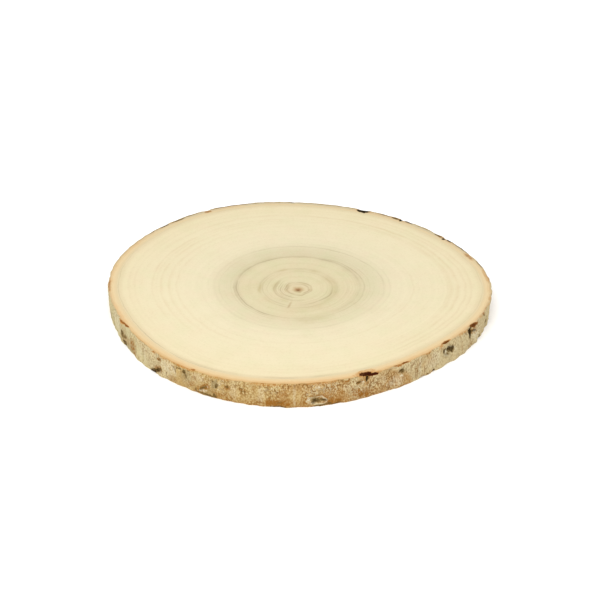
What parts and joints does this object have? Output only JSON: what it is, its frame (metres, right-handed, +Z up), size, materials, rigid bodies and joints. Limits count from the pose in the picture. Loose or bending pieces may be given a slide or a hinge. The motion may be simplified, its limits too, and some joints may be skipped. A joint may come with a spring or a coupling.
{
  "type": "wood slice",
  "caption": "Round slice sawn straight across a young poplar stem, with two flat faces and a thin bark rim, that lies flat as a board, coaster or stand.",
  "frame": {"origin": "on the underside's plane, at the middle of the slice's box", "axes": "+Z up along the stem, +X along the widest way across, +Y away from the side that faces the viewer in the picture"},
  "size_m": [0.1998, 0.1916, 0.0125],
  "materials": {
    "sawn_wood": "bare, smoothly sawn, pale cream with faint growth rings and a grey-green heart",
    "bark": "bare, matt, thin and lightly ribbed, grey-green to ochre with dark pores, orange bast at the sawn edge"
  },
  "bodies": {
    "root": {"wood_slice": "sawn_wood"}
  },
  "joints": []
}
